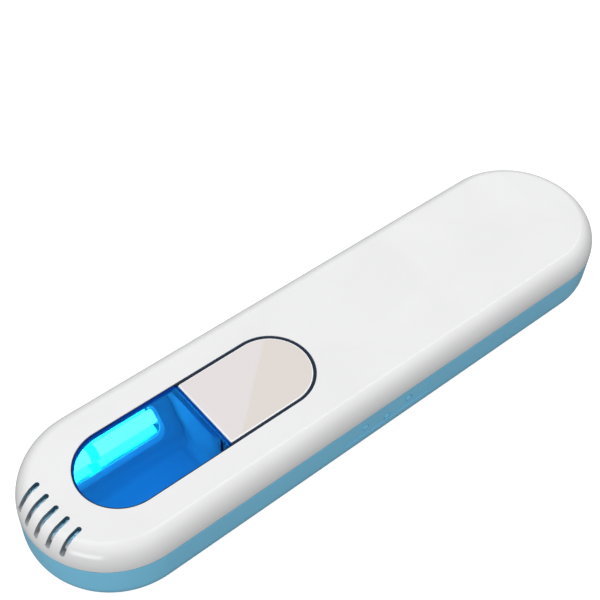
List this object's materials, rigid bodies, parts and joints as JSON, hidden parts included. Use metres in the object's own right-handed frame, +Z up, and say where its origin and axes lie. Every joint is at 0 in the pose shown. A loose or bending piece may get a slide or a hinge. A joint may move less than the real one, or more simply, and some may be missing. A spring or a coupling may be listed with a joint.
{
  "type": "toothbrush sanitizer case",
  "caption": "Long round-ended travel case that disinfects a toothbrush: blue base, white hinged lid with a clear blue window and a mirror panel, lamp beside the head chamber.",
  "frame": {"origin": "bottom centre of the closed case", "axes": "+X along the case from the lamp end to the plain end, -Y to the latch at the front, +Y to the hinge, +Z up"},
  "size_m": [0.22, 0.055, 0.026],
  "materials": {
    "shell_blue": "satin",
    "lid_white": "high gloss",
    "liner_white": "satin",
    "pane_blue": "clear tinted",
    "mirror_pale": "polished",
    "seal_navy": "satin",
    "lamp_glass": "clear, lit cyan",
    "reflector_teal": "dark satin",
    "cap_dark": "matt",
    "clip_pale": "satin",
    "steel": "bright",
    "cell_jacket": "printed sleeve, plain",
    "board_green": "solder mask",
    "ferrite_black": "ground ferrite and tape",
    "can_blue": "sleeve",
    "switch_black": "moulded"
  },
  "bodies": {
    "base": {"base_shell": "shell_blue", "liner_tray": "liner_white", "battery_cover": "liner_white", "cell_left": "cell_jacket", "cell_right": "cell_jacket", "plus_contact": "steel", "minus_contact": "steel", "cell_spring": "steel", "circuit_board": "board_green", "lamp_transformer": "ferrite_black", "capacitor_left": "can_blue", "capacitor_right": "can_blue", "driver_chip": "switch_black", "interlock_switch": "switch_black", "case_screw_1": "steel", "case_screw_2": "steel", "case_screw_3": "steel", "board_screw_1": "steel", "board_screw_2": "steel", "hinge_pin_left": "steel", "hinge_pin_right": "steel", "lamp_reflector": "reflector_teal", "lamp_tube": "lamp_glass", "lamp_cap_left": "cap_dark", "lamp_cap_right": "cap_dark", "lamp_clip": "clip_pale"},
    "lid": {"lid_shell": "lid_white", "window_pane": "pane_blue", "mirror_panel": "mirror_pale", "window_seal": "seal_navy"},
    "latch": {"latch_button": "shell_blue", "latch_catch": "lid_white", "latch_spring": "steel"},
    "plunger": {"interlock_plunger": "switch_black"}
  },
  "joints": [
    {"name": "lid_hinge", "type": "hinge", "parent": "base", "child": "lid", "pos_m": [0, 0.0254, 0.018], "axis": [-1, 0, 0], "range_deg": [0, 95]},
    {"name": "latch_press", "type": "slide", "parent": "base", "child": "latch", "axis": [0, 1, 0], "range_m": [0, 0.0012], "stiffness_N_per_m": 600, "springref_m": -0.002, "deforming": ["latch_spring"]},
    {"name": "plunger_rise", "type": "slide", "parent": "base", "child": "plunger", "axis": [0, 0, 1], "range_m": [0, 0.0004]}
  ],
  "couplings": [
    {"joint": "plunger_rise", "follows": "lid_hinge", "m_per_rad": 0.00024}
  ]
}
